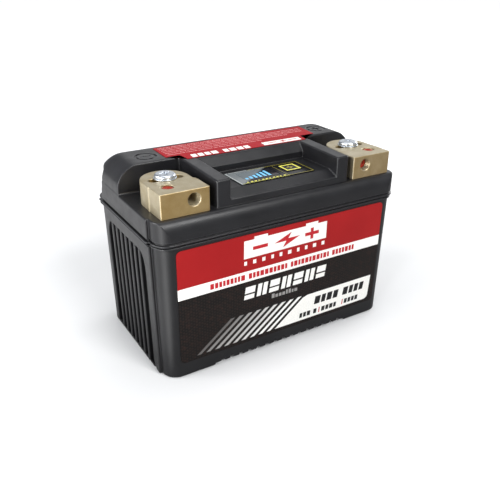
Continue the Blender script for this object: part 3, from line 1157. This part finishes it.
f = pillow(win_lo, win_hi, 0.5, 0.12)
xs = ticks(win_lo[0] - 0.3, win_hi[0] + 0.3, 0.8, [(win_lo[0] - 0.3, win_lo[0] + 0.9, 0.1), (win_hi[0] - 0.9, win_hi[0] + 0.3, 0.1)])
ys = ticks(win_lo[1] - 0.3, win_hi[1] + 0.3, 0.8, [(win_lo[1] - 0.3, win_lo[1] + 0.9, 0.1), (win_hi[1] - 0.9, win_hi[1] + 0.3, 0.1)])
zs = ticks(win_lo[2] - 0.3, win_hi[2] + 0.3, 0.1, [])
ob = field_mesh("display_lens", f, xs, ys, zs, 0.4, False, 0.02)
dress(ob, M["display_window"], "base", ("display_window",))

key_top = float(key_hi[2])


def key_field(x, y, z):
    cap = box2(x, y, key_lo[0], key_hi[0], key_lo[1], key_hi[1], 0.9)
    cx, cy = (key_lo[0] + key_hi[0]) / 2, (key_lo[1] + key_hi[1]) / 2
    crown = key_top - 0.0016 * ((x - cx) ** 2 + (y - cy) ** 2) * 0
    cap = rmax(cap, z - crown, 0.3)
    cap = rmax(cap, (key_top - 1.4) - z, 0.1)
    stem = np.maximum(box2(x, y, cx - 1.5, cx + 1.5, cy - 1.5, cy + 1.5, 0.4), np.maximum(z - (key_top - 1.2), key_lo[2] - z))
    return rmin(cap, stem, 0.2)


xs = ticks(key_lo[0] - 0.4, key_hi[0] + 0.4, 0.4, [(key_lo[0] - 0.4, key_lo[0] + 1.2, 0.12), (key_hi[0] - 1.2, key_hi[0] + 0.4, 0.12), (11.8, 16.4, 0.18)])
ys = ticks(key_lo[1] - 0.4, key_hi[1] + 0.4, 0.4, [(key_lo[1] - 0.4, key_lo[1] + 1.2, 0.12), (key_hi[1] - 1.2, key_hi[1] + 0.4, 0.12), (-23.2, -18.6, 0.18)])
zs = ticks(key_lo[2] - 0.4, key_hi[2] + 0.4, 0.12, [])
ob = field_mesh("test_key", key_field, xs, ys, zs, 0.5, False, 0.03)
dress(ob, M["key_print"], "test_button", ("test_button",))

# print on the display
thin = (-0.02, 0.02)
kx, ky = (key_lo[0] + key_hi[0]) / 2, (key_lo[1] + key_hi[1]) / 2
ring = band([(key_lo[0] + 0.75, key_lo[1] + 0.75), (key_hi[0] - 0.75, key_lo[1] + 0.75), (key_hi[0] - 0.75, key_hi[1] - 0.75), (key_lo[0] + 0.75, key_hi[1] - 0.75)], 0.95)
ink("key_print_frame", ring, on_key, M["ink_yellow"], "key_print", "test_button", thin)
bolt = [[(kx - 2.4, ky - 0.2), (kx + 0.7, ky + 2.4), (kx + 0.1, ky + 0.45), (kx + 2.4, ky + 0.45), (kx - 0.8, ky - 2.4), (kx - 0.1, ky - 0.2)]]
ink("key_print_symbol", bolt, on_key, M["ink_olive"], "key_print", "test_button", thin)
bars = []
for i in range(6):
    x0 = -15.6 + 2.75 * i
    bars.append(rect(x0, x0 + 1.5, -25.4, -24.0 + 1.15 * i + 0.6, 0.25))
ink("display_bars", bars, on_window, M["ink_cyan"], "display_window", "base", thin)
marks = [rect(-17.6 + 2.2 * i, -17.6 + 2.2 * i + (1.3 if i % 3 else 0.8), -29.9, -29.0) for i in range(11)]
marks += [rect(fx0 + 0.9, 7.4, fy0 + 0.28, fy0 + 0.48)]
ink("display_marks", marks, on_film, M["ink_yellow"], "display_film", "base", thin)
lines = [rect(-8.0, fx1 - 0.4, fy1 - 0.85, fy1 - 0.5), rect(fx1 - 0.8, fx1 - 0.4, fy0 + 0.5, fy1 - 0.85), rect(6.4, fx1 - 0.8, fy0 + 0.5, fy0 + 0.85), rect(7.0, 7.25, fy0 + 1.4, fy1 - 1.6)]
ink("display_lines", lines, on_film, M["ink_olive"], "display_film", "base", thin)
silver = [rect(fx0 + 0.25, fx0 + 0.75, fy0 + 0.3, fy1 - 0.3), rect(fx0 + 0.75, -8.4, fy1 - 0.6, fy1 - 0.3)]
ink("display_silver", silver, on_film, M["ink_silver"], "display_film", "base", thin)

# CAD nodes that stay as they are get their slot's material
slots = {e["node"]: e["material_slot"] for e in frame["record"]["subparts"]}
for n, o in frame["nodes"].items():
    if o.hide_render:
        continue
    o.data.materials.clear()
    o.data.materials.append(M[slots[n]])

# ------------------------------------------------------------------ stage, light and camera
bm = bmesh.new()
n = 24
grid = [[bm.verts.new((-6.0 + 12.0 * i / n, -6.0 + 12.0 * j / n, -0.0002)) for j in range(n + 1)] for i in range(n + 1)]
for i in range(n):
    for j in range(n):
        bm.faces.new((grid[i][j], grid[i + 1][j], grid[i + 1][j + 1], grid[i][j + 1]))
me = bpy.data.meshes.new("studio_floor")
bm.to_mesh(me)
bm.free()
floor = bpy.data.objects.new("studio_floor", me)
bpy.context.scene.collection.objects.link(floor)
floor.data.materials.append(M["floor"])


def area(name, place, target, sx, sy, power, colour=(1, 1, 1)):
    li = bpy.data.lights.new(name, "AREA")
    li.shape = "RECTANGLE"
    li.size, li.size_y = sx, sy
    li.energy = power
    li.color = colour
    o = bpy.data.objects.new(name, li)
    o.location = place
    o.rotation_euler = (Vector(target) - Vector(place)).to_track_quat("-Z", "Y").to_euler()
    bpy.context.scene.collection.objects.link(o)
    return o


area("light_top", (0.10, 0.10, 1.0), (0, 0, 0.08), 0.7, 0.7, 3.6)
area("light_back", (0.50, 0.88, 0.50), (0, 0, 0.09), 0.9, 0.45, 0.8)
area("light_left", (-0.95, 0.16, 0.40), (0, 0, 0.06), 0.7, 0.7, 10.0)
area("light_strip", (-0.80, -0.52, 0.14), (-0.07, -0.04, 0.05), 0.14, 0.5, 6.0)
area("light_right", (0.95, 0.30, 0.30), (0, 0, 0.05), 0.6, 0.6, 5.0)
area("light_front", (0.20, -1.10, 0.95), (0, 0, 0.05), 0.6, 0.5, 15.0)

world = bpy.data.worlds.new("studio")
bpy.context.scene.world = world
world.use_nodes = True
wt = world.node_tree
bg = wt.nodes["Background"]
wout = wt.nodes["World Output"]
bg.inputs["Color"].default_value = (0.92, 0.95, 1.0, 1)
bg.inputs["Strength"].default_value = 0.28
bright = wt.nodes.new("ShaderNodeBackground")
bright.inputs["Color"].default_value = (1, 1, 1, 1)
bright.inputs["Strength"].default_value = 1.0
path = wt.nodes.new("ShaderNodeLightPath")
blend = wt.nodes.new("ShaderNodeMixShader")
wt.links.new(path.outputs["Is Camera Ray"], blend.inputs[0])
wt.links.new(bg.outputs[0], blend.inputs[1])
wt.links.new(bright.outputs[0], blend.inputs[2])
wt.links.new(blend.outputs[0], wout.inputs["Surface"])

scene = bpy.context.scene
scene.view_settings.view_transform = "Standard"
scene.view_settings.look = "None"
cam = bpy.data.cameras.new("camera")
cam.lens = 42.69
cam.sensor_width = 36.0
cam.clip_start, cam.clip_end = 0.01, 20.0
camera = bpy.data.objects.new("camera", cam)
scene.collection.objects.link(camera)
right, up, back = Vector((0.85426, -0.51983, 0.00534)), Vector((0.22313, 0.37591, 0.89940)), Vector((-0.46953, -0.76712, 0.43711))
m = Matrix((right, up, back)).transposed().to_4x4()
m.translation = Vector((-0.16340, -0.27060, 0.19418))
camera.matrix_world = m
scene.camera = camera
